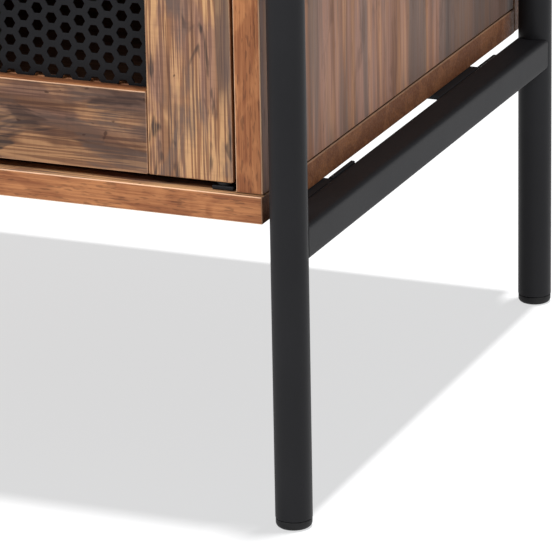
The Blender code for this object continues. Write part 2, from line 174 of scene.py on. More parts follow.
# %% A finish
class Finish:
    """A material that is built from expressions. Its shader is one Principled BSDF."""

    def __init__(self, name):
        self.material = bpy.data.materials.new(name)
        self.material.use_nodes = True
        self.tree = self.material.node_tree
        self.shader = self.tree.nodes["Principled BSDF"]

    def node(self, kind, settings, sockets, out=0):
        """Any node: its type, its settings, then numbers or links for its sockets."""
        node = self.tree.nodes.new(kind)
        for key, value in settings.items():
            setattr(node, key, value)
        self.plug(node, sockets)
        return Flow(self, self.socket_of(node.outputs, out))

    @staticmethod
    def socket_of(sockets, key):
        """A socket by its place, its identifier or its name."""
        if isinstance(key, int):
            return sockets[key]
        return next(s for s in sockets if key in (s.identifier, s.name))

    def plug(self, node, sockets):
        for key, value in sockets.items():
            socket = self.socket_of(node.inputs, key)
            if isinstance(value, Flow):
                self.tree.links.new(value.socket, socket)
            else:
                socket.default_value = value

    def attribute(self, name):
        return self.node("ShaderNodeAttribute", {"attribute_name": name}, {}, "Vector")

    def split(self, vector):
        node = self.tree.nodes.new("ShaderNodeSeparateXYZ")
        self.plug(node, {0: vector})
        return [Flow(self, output) for output in node.outputs]

    def join(self, x, y, z):
        return self.node("ShaderNodeCombineXYZ", {}, {"X": x, "Y": y, "Z": z})

    def vector(self, operation, first, second):
        return self.node("ShaderNodeVectorMath", {"operation": operation}, {0: first, 1: second})

    def noise(self, where, detail=2.0, roughness=0.5, distortion=0.0):
        return self.node("ShaderNodeTexNoise", {}, {
            "Vector": where, "Scale": 1.0, "Detail": detail, "Roughness": roughness,
            "Distortion": distortion}, "Fac")

    def texture(self, per_metre, detail=2.0, roughness=0.5):
        """Noise in the object's own space, with this many features to the metre on each axis."""
        here = self.node("ShaderNodeTexCoord", {}, {}, "Object")
        scale = tuple(np.broadcast_to(per_metre, 3).astype(float).tolist())
        return self.noise(self.vector("MULTIPLY", here, scale), detail, roughness)

    def mix(self, amount, first, second):
        """From the first colour to the second, by an amount from 0 to 1."""
        return self.node("ShaderNodeMix", {"data_type": "RGBA"}, {
            "Factor_Float": amount, "A_Color": first, "B_Color": second}, "Result_Color")

    def bump(self, height, distance, strength=1.0):
        return self.node("ShaderNodeBump", {}, {
            "Height": height, "Distance": distance, "Strength": strength}, "Normal")

    def surface(self, **sockets):
        """Numbers and links for the shader, with _ for a space in a socket's name."""
        self.plug(self.shader, {key.replace("_", " "): value for key, value in sockets.items()})
        return self.material


def paint(red, green, blue):
    """A colour as it is mixed for a screen, from 0 to 255, as the linear light it stands for."""
    screen = np.array((red, green, blue)) / 255
    light = np.where(screen <= 0.04045, screen / 12.92, ((screen + 0.055) / 1.055) ** 2.4)
    return (*light.tolist(), 1.0)


print("a mid grey is", round(paint(128, 128, 128)[0], 3), "of white")

# %% [markdown]
# ## From points to a mesh
# Each shape below is a grid of points, rings one after another along a piece. Joining a ring to
# the next gives quads, and the ends are closed by a face or a fan. Which way the faces look
# depends on the order of the rings, so it isn't guessed: the signed volume of a closed shape is
# negative if it is inside out, and then every face is turned round.

# %% Faces of a tube, and a mesh from arrays
def quads_between(rings, around, loop=False):
    """Quads that join each ring of points to the next, and the last to the first in a loop."""
    first = np.arange(rings if loop else rings - 1)[:, None] * around
    second = (first + around) % (rings * around)
    here = np.arange(around)[None, :]
    after = (here + 1) % around
    return np.stack([first + here, first + after, second + after, second + here],
                    axis=-1).reshape(-1, 4)


def signed_volume(points, groups):
    """Sum over triangles of a . (b x c) / 6, fanning each face from its first corner."""
    total = 0.0
    for faces in groups:
        for corner in range(1, faces.shape[1] - 1):
            a, b, c = (points[faces[:, k]] for k in (0, corner, corner + 1))
            total += np.einsum("ij,ij->", a, np.cross(b, c)) / 6
    return total


def closed_mesh(name, points, groups):
    """A mesh from points and groups of faces with the same number of corners, facing outwards."""
    if signed_volume(points, groups) < 0:
        groups = [faces[:, ::-1] for faces in groups]
    corners = np.concatenate([faces.ravel() for faces in groups])
    sizes = np.concatenate([np.full(len(faces), faces.shape[1]) for faces in groups])
    mesh = bpy.data.meshes.new(name)
    mesh.vertices.add(len(points))
    mesh.vertices.foreach_set("co", points.astype(np.float32).ravel())
    mesh.loops.add(len(corners))
    mesh.loops.foreach_set("vertex_index", corners.astype(np.int32))
    mesh.polygons.add(len(sizes))
    starts = np.concatenate([[0], np.cumsum(sizes)[:-1]])
    mesh.polygons.foreach_set("loop_start", starts.astype(np.int32))
    mesh.update(calc_edges=True)
    mesh.validate()
    return mesh


def place_piece(name, points, groups, finish, body, stands_for=(), edge_angle=None):
    """A piece of the stand on its body, shaded smooth. Without an edge angle, big faces stay flat."""
    mesh = closed_mesh(name, points, groups)
    mesh.shade_smooth()
    piece = bpy.data.objects.new(name, mesh)
    bpy.context.scene.collection.objects.link(piece)
    mesh.materials.append(finish)
    if edge_angle is None:
        piece.modifiers.new("flat faces stay flat", "WEIGHTED_NORMAL")
    else:
        mesh.set_sharp_from_angle(angle=math.radians(edge_angle))
    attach(piece, body)
    if stands_for:
        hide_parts(*stands_for)
    return piece


print("a tube of 3 rings of 4 points has", len(quads_between(3, 4)), "quads")

# %% [markdown]
# ## Wood-grain board
# The boards are chipboard with a printed, rustic wood paper: honey and umber fibres, smoky grey
# washes, charcoal smudges, and knots the size of a pin head. Their edges have a separate strip
# with a warmer, plainer grain. Along each arris a pale line is painted: partly rubbed-through print,
# partly a painted highlight where the rounded edge catches light.
# An image would show its repeats, so the print is noise, stretched along the grain at several
# scales. Each board carries what the finish reads, so boards differ and the grain turns with them:
#
# - grain and half: its points measured along, across and through the grain, and its half sizes
# - mood: its seed, and how smoky and how honey-coloured it is
# - look: how calm and how dark its print is, and how strongly its arrises are rubbed and carry a pale
#   painted highlight
# - heart: where a sooty streak with one sharp edge starts across and along the board, and which way
# - bay: where painted shade starts on the floor of a closed bay, standing for its dark inside, and how
#   dark that shade is

# %% Colours of the print
HONEY = paint(208, 164, 116)
TAN = paint(180, 128, 90)
UMBER = paint(124, 84, 62)
ROSE = paint(148, 110, 94)
SMOKE = paint(98, 82, 75)
CHARCOAL = paint(58, 48, 46)
BARK = paint(58, 36, 26)
STRIP_LIGHT = paint(192, 130, 84)
STRIP_DARK = paint(120, 68, 42)
ARRIS_HIGHLIGHT_AND_RUB = paint(244, 198, 160)


# %% The laminate finish
def laminate_finish():
    """Printed face, warmer edge strip and a pale arris that is rubbed and painted as highlight, told
    apart by how far each face is.
    """
    wood = Finish("rustic_wood_grain_laminate")
    here = wood.attribute("grain")
    half = wood.attribute("half")
    seed, smoke_share, honey_share = wood.split(wood.attribute("mood"))
    calm, dark, wear_and_highlight = wood.split(wood.attribute("look"))
    heart_at, heart_from, heart_way = wood.split(wood.attribute("heart"))
    shifted = wood.vector("ADD", here, wood.join(seed * 1.37, seed * 0.73, seed * 0.41))

    def grain(along, across, detail=2.0, roughness=0.5, distortion=0.0):
        """Noise with this many features to the metre along and across the grain."""
        where = wood.vector("MULTIPLY", shifted, (along, across, across))
        return wood.noise(where, detail, roughness, distortion)

    def either(lively_value, calm_value):
        """The first on a lively board, the second on a calm one, and blends between them."""
        return lively_value + (calm_value - lively_value) * calm

    fibres = grain(20, 900, 1.0, 0.5).between(0.44, 0.56)
    threads = grain(16, 600, 2.0, 0.6).between(0.42, 0.58)
    bands = grain(3, 80, 3.0, 0.55, 0.3)
    honey = either(grain(19, 58, 3.0, 0.55, 0.5), grain(6, 95, 3.0, 0.5, 0.6))
    honey = (honey + honey_share * 0.1).between(0.46, 0.62)
    smoke = either(grain(16, 50, 4.0, 0.6, 0.6), grain(5, 62, 3.0, 0.5, 0.4))
    smoke = (smoke + smoke_share * 0.1).between(0.50, 0.64)
    smudge = grain(20, 74, 3.0, 0.6, 0.6) + smoke_share * 0.06 + fibres * 0.015
    smudge = smudge.between(0.585, 0.655)
    knots = grain(150, 240, 1.0, 0.4).between(0.74, 0.79)
    saw_marks = grain(620, 24, 1.0, 0.5).between(0.5, 0.7)

    lively = 1 - calm * 0.8
    colour = wood.mix(bands.between(0.40, 0.60), UMBER, ROSE)
    colour = wood.mix(honey * (0.64 - calm * 0.28 + threads * 0.18 * lively), colour, TAN)
    colour = wood.mix(fibres * lively * (0.16 + honey * 0.48) * (1 - dark * 0.5), colour, HONEY)
    colour = wood.mix((1 - fibres) * lively * (0.52 - threads * 0.16), colour, BARK)
    colour = wood.mix(smoke * (0.78 - fibres * 0.3 * lively), colour, SMOKE)
    colour = wood.mix(smudge * (0.9 - fibres * 0.25) * (1 - calm * 0.7), colour, CHARCOAL)
    colour = wood.mix(knots * 0.75 * lively, colour, BARK)
    colour = wood.mix(saw_marks * 0.07 * lively, colour, BARK)
    colour = wood.mix(dark * (0.55 - honey * 0.25), colour, BARK)

    side_on, across_on, _ = wood.split(here)
    drift = (grain(12, 5, 2.0) - 0.5) * 0.008
    heart = (across_on + drift - heart_at).between(-0.0004, 0.0010)
    heart = heart * ((side_on + drift * 3 - heart_from) * heart_way).between(-0.016, 0.016)
    heart = heart * abs(heart_way)
    colour = wood.mix(heart * (0.85 - threads * 0.2), colour, SMOKE)
    colour = wood.mix(heart * 0.35, colour, CHARCOAL)
    # Painted shade: past the door line the floor of each side bay is darkened towards BARK, for the
    # unlit inside of a closed bay.
    bay_from, bay_edge, shade = wood.split(wood.attribute("bay"))
    painted_bay_shade = (across_on - bay_from).between(0.0, 0.004)
    painted_bay_shade = painted_bay_shade * (abs(side_on) - bay_edge).between(0.0, 0.002)
    colour = wood.mix(painted_bay_shade * shade, colour, BARK)

    streaks = grain(12, 620, 4.0, 0.7).between(0.40, 0.60)
    flecks = grain(150, 900, 1.0, 0.6).between(0.56, 0.68)
    blotch = grain(26, 70, 3.0, 0.5, 0.8).between(0.46, 0.58)
    strip = wood.mix(streaks * 0.35 + blotch * 0.32 + 0.12, STRIP_DARK, STRIP_LIGHT)
    strip = wood.mix(flecks * 0.4, strip, BARK)

    along, across, through = wood.split(wood.vector("SUBTRACT", half,
        wood.node("ShaderNodeVectorMath", {"operation": "ABSOLUTE"}, {0: here})))
    nearest = along.least(across).least(through)
    farthest = along.most(across).most(through)
    from_edge = along + across + through - nearest - farthest
    on_strip = through.between(0.0002, 0.0006)
    shaded_end = along.between(0.0003, 0.0010, 1.0, 0.0)
    # Painted shade: the edge strip is darkened towards BARK on each board's end faces, as on the bottom
    # board's ends beside the legs.
    strip = wood.mix(shaded_end * 0.5, strip, BARK)
    # Painted highlight: a pale line along every arris, where the rounded edge would catch light, patchy
    # like rubbed print and weaker on the shaded ends.
    rub_and_highlight = grain(60, 200, 2.0).between(0.3, 0.6, 0.7, 1.0) * wear_and_highlight
    arris_wear_and_highlight = from_edge.between(0.0003, 0.0008, 1.0, 0.0) * rub_and_highlight * (1 - shaded_end * 0.75)
    colour = wood.mix(on_strip, colour, strip)
    colour = wood.mix(arris_wear_and_highlight, colour, ARRIS_HIGHLIGHT_AND_RUB)

    relief = fibres * 0.6 + threads * 0.4 - smudge * 0.3
    return wood.surface(
        Base_Color=colour, Specular_IOR_Level=0.22,
        Roughness=0.52 + threads * 0.10 + smudge * 0.06 - arris_wear_and_highlight * 0.08,
        Normal=wood.bump(relief, 0.00010, 0.7))


LAMINATE = laminate_finish()
print("laminate:", len(LAMINATE.node_tree.nodes), "nodes")

# %% [markdown]
# ## Powder coat, moulded plastic and plated steel
# Powder coat melts into a skin that is never quite flat: a fine orange peel about a millimetre
# across, with slow changes of gloss. The tube, the door sheets and the knobs share it, at
# different gloss. Plastic has a spark-eroded matt texture, and zinc plate is metal with soft,
# cloudy brushing. All of them read the object's own coordinates, so nothing slides in a pose.

# %% Coats and platings
def lighter(colour, times):
    return tuple(min(1.0, channel * times) for channel in colour[:3]) + (1.0,)


def powder_coat(name, colour, gloss, peel=900.0, shine=0.12):
    """Orange peel over a colour that is a little lighter where the coat lies thicker."""
    coat = Finish(name)
    peel_height = coat.texture(peel, 2.0, 0.55)
    cloud = coat.texture(14, 3.0, 0.6)
    dust = coat.texture(420, 3.0, 0.7)
    light = lighter(colour, 1.25)
    return coat.surface(
        Base_Color=coat.mix(cloud.between(0.35, 0.65) * 0.6 + dust.between(0.55, 0.8) * 0.3,
                            colour, light),
        Roughness=gloss + cloud * 0.14 + peel_height * 0.06,
        Specular_IOR_Level=shine,
        Normal=coat.bump(peel_height, 0.00005, 0.55))


def moulded_plastic(name, colour, gloss):
    """A fine matt grain with slow waves from the mould."""
    plastic = Finish(name)
    spark = plastic.texture(2600, 1.0)
    flow = plastic.texture(60)
    return plastic.surface(
        Base_Color=plastic.mix(flow.between(0.3, 0.7) * 0.6, colour, lighter(colour, 1.3)),
        Roughness=gloss + spark * 0.18, Specular_IOR_Level=0.2,
        Normal=plastic.bump(spark, 0.00002, 0.6))


def zinc_plate():
    """Bright plated steel: streaks of brushing under a cloudy passivated skin."""
    zinc = Finish("zinc_plated_steel")
    brushed = zinc.texture((2400, 180, 2400), 2.0, 0.6)
    cloud = zinc.texture(160, 3.0, 0.6)
    colour = zinc.mix(cloud.between(0.35, 0.7), paint(196, 197, 198), paint(168, 170, 176))
    return zinc.surface(Base_Color=colour, Metallic=1.0,
                        Roughness=0.26 + brushed * 0.16 + cloud * 0.08,
                        Normal=zinc.bump(brushed, 0.00002, 0.5))


TUBE_COAT = powder_coat("black_tube_powder_coat", paint(33, 33, 35), 0.40, 900.0, 0.10)
SHEET_COAT = powder_coat("black_sheet_powder_coat", paint(27, 27, 29), 0.50, 1300.0, 0.10)
KNOB_COAT = powder_coat("black_knob_powder_coat", paint(34, 34, 36), 0.36, 1100.0, 0.3)
BLACK_PLASTIC = moulded_plastic("black_moulded_plastic", paint(28, 28, 29), 0.44)
ZINC = zinc_plate()
print("finishes:", [m.name for m in bpy.data.materials if m.users])

# %% [markdown]
# ## A board
# A board is a rounded rectangle carried along the grain. Near each end the rectangle shrinks by
# the rounding, r (1 - sin t), while it moves along by r (1 - cos t), which rounds the last edges
# too. A bevelled cube would have the same shape, but here every point knows its place along the
# grain, and a door's groove for the mesh is only four more points on the rectangle.

# %% Rounded rectangle and board
def rounded_rectangle(half_a, half_b, radius, steps=4, side_points=0):
    """Corner centres and outward directions, anticlockwise: a point is centre + radius * way."""
    turn = np.linspace(0, math.pi / 2, steps + 1)
    angle = np.concatenate([turn + quarter * math.pi / 2 for quarter in range(4)])
    signs = np.repeat([(1, 1), (-1, 1), (-1, -1), (1, -1)], steps + 1, axis=0)
    centre = signs * (half_a - radius, half_b - radius)
    way = np.stack([np.cos(angle), np.sin(angle)], axis=1)
    if side_points:
        share = np.linspace(0, 1, side_points + 2)[1:-1, None]
        row = steps + 1
        centres, ways = [], []
        for quarter in range(4):
            last, nxt = quarter * row + steps, (quarter + 1) % 4 * row
            centres += [centre[quarter * row:last + 1],
                        centre[last] + (centre[nxt] - centre[last]) * share]
            ways += [way[quarter * row:last + 1], np.repeat(way[last][None], side_points, axis=0)]
        centre, way = np.concatenate(centres), np.concatenate(ways)
    return centre, way


def end_rounding(half_length, radius, steps=4):
    """Stations along a piece and how far its outline is drawn in at each, from end to end."""
    turn = np.linspace(0.10, math.pi / 2, steps + 1)
    along = -half_length + radius * (1 - np.cos(turn))
    along[0] = -half_length
    drawn_in = radius * (1 - np.sin(turn))
    return np.concatenate([along, -along[::-1]]), np.concatenate([drawn_in, drawn_in[::-1]])


def wear_grain(piece, grain_points, half, seed, smoke, honey, calm=0.0, dark=0.0, wear_and_highlight=0.9,
               heart=(0.0, 0.0, 0.0), bay=(0.0, 0.0, 0.0)):
    """Stores what the laminate reads: place along the grain, half sizes, and the board's looks."""
    count = len(piece.data.vertices)
    values = {"grain": grain_points, "half": np.tile(half, (count, 1)),
              "mood": np.tile((seed, smoke, honey), (count, 1)),
              "look": np.tile((calm, dark, wear_and_highlight), (count, 1)),
              "heart": np.tile(heart, (count, 1)), "bay": np.tile(bay, (count, 1))}
    for name, array in values.items():
        stored = piece.data.attributes.new(name, "FLOAT_VECTOR", "POINT")
        stored.data.foreach_set("vector", array.astype(np.float32).ravel())


def board(node, grain_axis, seed, smoke=0.0, honey=0.0, groove=None, **looks):
    """A rounded board in the place of a packed one. groove is (side, through, width, depth, stop)."""
    low, high = SPAN[node]
    centre, half = (low + high) / 2, (high - low) / 2
    others = [axis for axis in range(3) if axis != grain_axis]
    through_axis = min(others, key=lambda axis: half[axis])
    across_axis = next(axis for axis in others if axis != through_axis)
    length, width, thick = half[grain_axis], half[across_axis], half[through_axis]
    core, way = rounded_rectangle(width, thick, ARRIS)
    along, drawn_in = end_rounding(length, ARRIS)
    dent = np.zeros(len(core))
    if groove:
        side, through, slot, depth, stop = groove
        mouth = np.array([through - slot / 2, through - slot / 2, through + slot / 2,
                          through + slot / 2])
        core = np.concatenate([core, np.stack([np.full(4, width - ARRIS), mouth], axis=1)])
        way = np.concatenate([way, np.tile((1.0, 0.0), (4, 1))])
        dent = np.concatenate([dent, (0, depth, depth, 0)])
        if stop:
            stops = np.array([-stop - 0.00005, -stop, stop, stop + 0.00005])
            drawn_in = np.insert(drawn_in, len(along) // 2, np.zeros(4))
            along = np.insert(along, len(along) // 2, stops)
    outline = core + way * (ARRIS - drawn_in)[:, None, None]
    if groove:
        open_here = np.abs(along) <= stop if stop else np.ones(len(along), bool)
        sunk = np.where(open_here, 1.0, 0.003)
        outline[..., 0] -= dent * sunk[:, None]
        outline[..., 0] *= side
    rings, around = outline.shape[:2]
    local = np.empty((rings, around, 3))
    local[..., 0] = along[:, None]
    local[..., 1:] = outline
    local = local.reshape(-1, 3)
    points = np.empty_like(local)
    points[:, [grain_axis, across_axis, through_axis]] = local
    points += centre
    caps = np.stack([np.arange(around)[::-1], np.arange(around) + (rings - 1) * around])
    piece = place_piece(node + "_laminated", points, [quads_between(rings, around), caps],
                        LAMINATE, BODY_OF[node], [node])
    wear_grain(piece, local, (length, width, thick), seed, smoke, honey, **looks)
    return piece


X, Y, Z = 0, 1, 2
bay_from = SPAN["door_right_mesh"][0][1] - middle("bottom_panel")[1]
case_boards = [board("top_panel", X, 3.0, 0.2, 0.3, calm=0.3),
               board("bottom_panel", X, 5.0, 0.1, 0.5,
                     bay=(bay_from, SPAN["divider_right"][1][0], 0.9)),
               board("middle_shelf", X, 7.0, 0.1, 0.2)]
for number, side in enumerate(SIDES):
    case_boards.append(board("side_panel_" + side, Z, 11.0 + number, 0.3, 0.1, calm=1.0,
                             heart=(0.077, 0.09, -0.8)))
    case_boards.append(board("divider_" + side, Z, 17.0 + number, 0.2, 0.2))
print("case boards:", [piece.name for piece in case_boards])

# %% [markdown]
# ## The back boards
# Each back board has a round hole for cables. A Boolean would cut it, and would leave long thin
# triangles and a ragged pattern on them. The board is instead a ring: for every point of its
# outline there is a point on the hole in the same direction. Carrying that pair round the edge,
# over the back, through the hole and over the front closes the board on itself.

# %% Board with a round hole
HOLE_RADIUS = 0.025
SCREW_ROOM = 0.0005      # kept behind the board for the heads of its screws


def pierced_board(node, hole_x, hole_z, seed):
    """A ring of sections round the hole: outer edge, back face, wall of the hole, front face."""
    low, high = SPAN[node]
    centre, half = (low + high) / 2, (high - low) / 2
    core, way = rounded_rectangle(half[0], half[2], 0.0015, 3, 24)
    outer = core + way * 0.0015 + (centre[0], centre[2])
    hole = np.array((hole_x, hole_z))
    toward = outer - hole
    toward /= np.linalg.norm(toward, axis=1)[:, None]
    thick = half[1]
    turn = np.linspace(0, math.pi / 2, 4)
    round_in, round_out = ARRIS * (1 - np.sin(turn)), ARRIS * (1 - np.cos(turn))
    rings, depths = [], []
    edge_in = np.concatenate([round_in, round_in[::-1]])
    edge_y = np.concatenate([-thick + round_out, thick - SCREW_ROOM - round_out[::-1]])
    for drawn, y in zip(edge_in, edge_y):
        rings.append(outer - way * drawn)
        depths.append(y)
    for drawn, y in zip(edge_in, edge_y[::-1]):
        rings.append(hole + toward * (HOLE_RADIUS + drawn))
        depths.append(y)
    flat = np.array(rings)
    local = np.stack([flat[..., 0] - centre[0],
                      flat[..., 1] - centre[2],
                      np.repeat(np.array(depths)[:, None], flat.shape[1], axis=1)], axis=-1)
    around = flat.shape[1]
    local = local.reshape(-1, 3)
    points = np.stack([local[:, 0], local[:, 2], local[:, 1]], axis=1) + centre
    piece = place_piece(node + "_laminated", points, [quads_between(len(rings), around, True)],
                        LAMINATE, BODY_OF[node], [node])
    wear_grain(piece, local, (half[0], half[2], half[1]), seed, 0.2, 0.1)
    return piece


side_bay_x = (SPAN["divider_right"][1][0] + SPAN["side_panel_right"][0][0]) / 2
back_boards = [pierced_board("back_panel_left", -side_bay_x, 0.300, 23.0),
               pierced_board("back_panel_middle", 0.0, 0.430, 24.0),
               pierced_board("back_panel_right", side_bay_x, 0.300, 25.0)]
print("back boards:", [len(piece.data.polygons) for piece in back_boards], "faces")

# %% [markdown]
# ## The door frames
# A door is four boards: two stiles that run its full height and two rails between them. The grain
# follows each board's length, so it turns a corner at every joint. Stiles and rails hold the mesh
# in a groove 7 mm deep. In the stiles it stops short of the ends, where it would show.

# %% Stiles and rails
GROOVE_WIDTH = 0.0020
GROOVE_DEPTH = 0.0070


def door_frame(side, sign, seed):
    """Four boards with a groove on the side that faces the opening."""
    door = "door_%s_" % side
    mesh_y = middle(door + "mesh")[1]
    sunk = mesh_y - middle(door + "hinge_stile")[1]
    mesh_half = (SPAN[door + "mesh"][1] - SPAN[door + "mesh"][0]) / 2
    stop = mesh_half[2] + 0.001
    streaked = {"heart": (0.016, -0.113, 0.8), "wear_and_highlight": 0.3}
    plans = (("hinge_stile", Z, -sign, stop, 0.1, 0.4, streaked),
             ("lock_stile", Z, sign, stop, 0.3, 0.4, {"wear_and_highlight": 0.3}),
             ("bottom_rail", X, 1, None, 0.2, 0.2, {"dark": 0.95, "wear_and_highlight": 0.6}),
             ("top_rail", X, -1, None, 0.2, 0.3, {"dark": 0.7, "wear_and_highlight": 0.6}))
    made = []
    for number, (part, axis, inward, stops, smoke, honey, looks) in enumerate(plans):
        groove = (inward, sunk, GROOVE_WIDTH, GROOVE_DEPTH, stops)
        made.append(board(door + part, axis, seed + number * 2.3, smoke, honey, groove, **looks))
    return made


door_boards = [door_frame(side, sign, 31.0 + 11 * (sign > 0)) for side, sign in SIDES.items()]
print("door boards:", sum(len(boards) for boards in door_boards))

# %% [markdown]
# ## The perforated sheet
# The doors are filled with steel sheet, punched with six-sided holes in staggered columns. Eight
# hundred holes could be cut by Booleans, very slowly. But the sheet repeats: around each hole lies
# a six-sided cell, and the cells fit together with nothing between them. So one cell is a ring
# from its own outline to the hole and through it, the sheet is that ring at every centre, and
# welding the shared outlines makes it one piece. Cells that would cross the sheet's border stay
# unpunched, and their edges make its rim, hidden in the grooves of the frame.

# %% Cells of the sheet
PITCH = 0.0094           # from one hole to the next
HOLE_ACROSS = 0.0058     # between two flats of a hole
SHEET_THICK = 0.0010
PUNCH_ROUND = 0.00015    # edge that the punch draws in
SOLID_BORDER = 0.0006    # least metal between a hole and the sheet's edge
HOLE_FROM_LEG = 0.0889   # a column of holes, sideways from the leg
HOLE_ROW_Z = 0.2730


def weld(points, faces):
    """Points at the same place, to a micrometre, become one."""
    _, first, index = np.unique(np.round(points / 1e-6).astype(np.int64), axis=0,
                                return_index=True, return_inverse=True)
    index = index.reshape(-1)
    return points[first], [index[group] for group in faces]


def perforated_sheet(side, sign):
    """Six-sided cells on a triangular lattice, each a ring of faces round its hole."""
    door = "door_%s_" % side
    low, high = SPAN[door + "mesh"]
    centre_y = (low[1] + high[1]) / 2
    column = PITCH * math.sqrt(3) / 2
    start_x = sign * (middle("leg_front_right")[0] - HOLE_FROM_LEG)
    columns, rows = np.arange(-60, 61), np.arange(-40, 41)   # more than fit; the rest are dropped
    grid_x, grid_z = np.meshgrid(start_x + columns * column, HOLE_ROW_Z + rows * PITCH,
                                 indexing="ij")
    grid_z += (columns[:, None] % 2) * PITCH / 2
    centres = np.stack([grid_x.ravel(), grid_z.ravel()], axis=1)
    box_low, box_high = low[[0, 2]], high[[0, 2]]
    inside = np.all((centres > box_low) & (centres < box_high), axis=1)
    centres = centres[inside]
    corner = np.arange(6) * math.pi / 3
    ways = np.stack([np.cos(corner), np.sin(corner)], axis=1)
    hole_radius = HOLE_ACROSS / math.sqrt(3)
    margin = hole_radius + SOLID_BORDER
    punched = np.all((centres > box_low + margin) & (centres < box_high - margin), axis=1)

    def within(flat):
        """Points past the border are drawn back to it, keeping a fiftieth of what they passed."""
        kept = np.clip(flat, box_low, box_high)
        return kept + (flat - kept) * 0.02

    half = SHEET_THICK / 2
    steps = ((PITCH / math.sqrt(3), half), (hole_radius + PUNCH_ROUND, half),
             (hole_radius, half - PUNCH_ROUND), (hole_radius, -half + PUNCH_ROUND),
             (hole_radius + PUNCH_ROUND, -half), (PITCH / math.sqrt(3), -half))
    rings = []
    for radius, depth in steps:
        flat = within(centres[punched][:, None] + ways * radius)
        rings.append(np.concatenate([flat, np.full((*flat.shape[:2], 1), depth)], axis=2))
    cells = np.stack(rings, axis=1)
    count = len(cells)
    base = np.arange(count)[:, None, None, None] * 36
    ring = np.arange(5)[None, :, None, None] * 6
    one = np.arange(6)[None, None, :, None]
    after = (one + 1) % 6
    quads = base + np.concatenate([ring + one, ring + after, ring + 6 + after, ring + 6 + one], axis=3)
    plain = within(centres[~punched][:, None] + ways * PITCH / math.sqrt(3))
    faces_up = np.concatenate([plain, np.full((*plain.shape[:2], 1), half)], axis=2)
    faces_down = faces_up * (1, 1, -1)
    flat_points = np.concatenate([cells.reshape(-1, 3), faces_up.reshape(-1, 3),
                                  faces_down.reshape(-1, 3)])
    first_up = count * 36
    hexes = np.arange(len(plain) * 6).reshape(-1, 6) + first_up
    points, groups = weld(flat_points, [quads.reshape(-1, 4), hexes,
                                        hexes[:, ::-1] + len(plain) * 6])
    rim = rim_quads(points, groups, half)
    points = np.stack([points[:, 0], centre_y - points[:, 2], points[:, 1]], axis=1)
    piece = place_piece(door + "perforated_sheet", points, [*groups, rim], SHEET_COAT,
                        "door_" + side, [door + "mesh"], 30)
    print(piece.name, count, "holes,", len(piece.data.polygons), "faces")
    return piece


def rim_quads(points, groups, half):
    """Joins the front's open edges to the same edges at the back."""
    edges = np.concatenate([np.stack([faces, np.roll(faces, -1, axis=1)], axis=2).reshape(-1, 2)
                            for faces in groups])
    ordered = np.sort(edges, axis=1)
    _, first, count = np.unique(ordered, axis=0, return_index=True, return_counts=True)
    lone = edges[first[count == 1]]
    front = lone[points[lone[:, 0], 2] > 0]
    back_points = points.copy()
    back_points[:, 2] = -back_points[:, 2]
    keys = {tuple(key): number for number, key in
            enumerate(np.round(points / 1e-6).astype(np.int64).tolist())}
    mirrored = np.round(back_points[front] / 1e-6).astype(np.int64)
    behind = np.array([[keys[tuple(end)] for end in edge] for edge in mirrored.tolist()])
    return np.stack([front[:, 1], front[:, 0], behind[:, 0], behind[:, 1]], axis=1)


sheets = [perforated_sheet(side, sign) for side, sign in SIDES.items()]

# %% [markdown]
# ## Turned pieces
# Legs, glides, knobs, bolts and spacers are all turned: a profile of radius against height, spun
# about an axis. A lathe modifier does that too, but the profile as an array can hold true arcs
# and smooth curves. Where a profile meets the axis, its ring closes to one point with a fan.

# %% Lathe
def arc(centre, radius, start, end, steps=6):
    """Points of radius and height on an arc, from one angle in degrees to another."""
    angle = np.radians(np.linspace(start, end, steps + 1))
    return np.stack([centre[0] + radius * np.cos(angle), centre[1] + radius * np.sin(angle)], axis=1)


def lathe(profile, origin, axis, around=48, loop=False):
    """Points and faces of a profile turned about an axis through origin."""
    axis = np.array(axis, float)
    side = np.cross(axis, (0, 1, 0) if abs(axis[1]) < 0.9 else (1, 0, 0))
    side /= np.linalg.norm(side)
    other = np.cross(axis, side)
    profile = np.asarray(profile, float)
    poles = [] if loop else [end for end in (0, -1) if profile[end, 0] < 1e-9]
    body = profile[profile[:, 0] >= 1e-9]
    angle = np.arange(around) * 2 * math.pi / around
    ring = np.cos(angle)[:, None] * side + np.sin(angle)[:, None] * other
    points = (body[:, 0, None, None] * ring + body[:, 1, None, None] * axis).reshape(-1, 3)
    groups = [quads_between(len(body), around, loop)]
    for end in poles:
        first = 0 if end == 0 else (len(body) - 1) * around
        here = first + np.arange(around)
        after = first + (np.arange(around) + 1) % around
        tip = np.full(around, len(points))
        fan = np.stack([tip, after, here] if end == 0 else [tip, here, after], axis=1)
        points = np.concatenate([points, profile[end, 1] * axis[None]])
        groups.append(fan)
    return points + np.array(origin), groups


def turned(name, profile, origin, axis, finish, body, stands_for=(), around=48, loop=False):
    points, groups = lathe(profile, origin, axis, around, loop)
    return place_piece(name, points, groups, finish, body, stands_for, 32)


print("a quarter arc:", np.round(arc((0, 0), 1, 0, 90, 2), 2).tolist())

# %% [markdown]
# ## Side frames
# Each side frame is two round legs joined by two square rails. The leg tube is closed at the top
# with a rounded cap, and holds a plastic glide at the foot.

